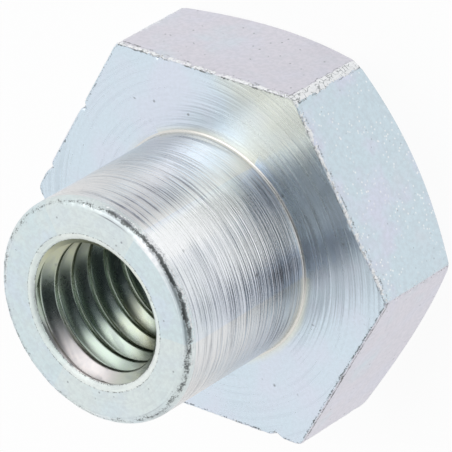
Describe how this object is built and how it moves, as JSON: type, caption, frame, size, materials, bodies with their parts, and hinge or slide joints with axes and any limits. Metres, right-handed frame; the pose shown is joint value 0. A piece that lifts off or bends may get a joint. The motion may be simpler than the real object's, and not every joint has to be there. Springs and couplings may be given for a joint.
{
  "type": "threaded nut",
  "caption": "Hexagonal nut with a round spigot on one side and a threaded bore right through, turned in one piece from steel bar and zinc plated.",
  "frame": {"origin": "centre of the hexagon's back face, on which the nut stands", "axes": "+Z along the bore from the back face towards the spigot's end, +X square to one of the flats"},
  "size_m": [0.019, 0.0216, 0.0149],
  "materials": {
    "zinc_plate": "clear zinc plate over turned steel"
  },
  "bodies": {
    "root": {"nut": "zinc_plate"}
  },
  "joints": []
}
